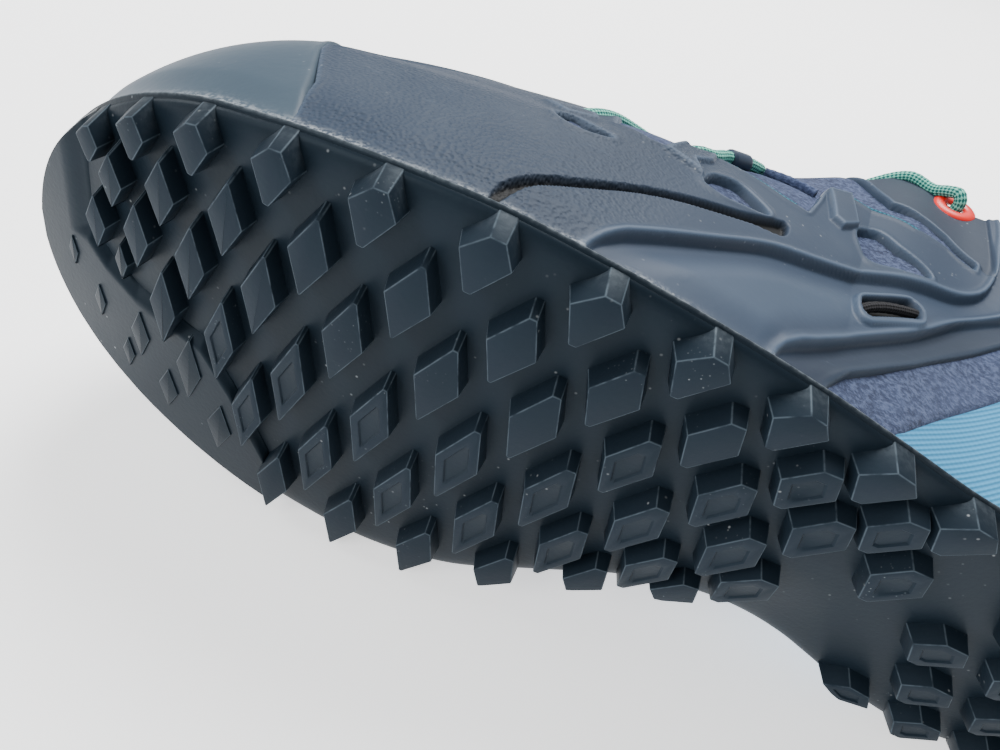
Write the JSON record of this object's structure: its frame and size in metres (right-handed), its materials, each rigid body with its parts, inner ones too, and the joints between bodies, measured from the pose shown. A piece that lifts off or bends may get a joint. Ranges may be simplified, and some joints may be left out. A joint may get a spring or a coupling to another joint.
{
  "type": "approach shoe",
  "caption": "Low-cut approach shoe for the left foot with a lugged rubber sole, toe cap, side rand, caged quarter, lacing and a hollow upper.",
  "frame": {"origin": "centre of the bounding box at floor level", "axes": "the shoe lies on its medial side: toe towards -X, sole towards -Y, lateral side up towards +Z"},
  "size_m": [0.2966, 0.1356, 0.1084],
  "materials": {
    "outsole": "matte blue-black rubber",
    "insole": "knitted sock liner",
    "upper": "navy suede with a textile quarter",
    "tongue": "padded textile",
    "toe_cap": "smooth satin rubber",
    "side_rand": "grained matte rubber",
    "cage": "matte moulded film",
    "eyestay": "matte moulded film",
    "slot_cord": "braided cord",
    "lace": "braided round lace",
    "grommet": "satin"
  },
  "bodies": {
    "root": {"outsole": "outsole", "insole": "insole", "upper": "upper", "tongue": "tongue", "toe_cap": "toe_cap", "side_rand": "side_rand", "cage": "cage", "eyestay": "eyestay", "slot_cord": "slot_cord", "lace": "lace", "eyelet_lateral": "grommet", "eyelet_medial": "grommet"}
  },
  "joints": []
}
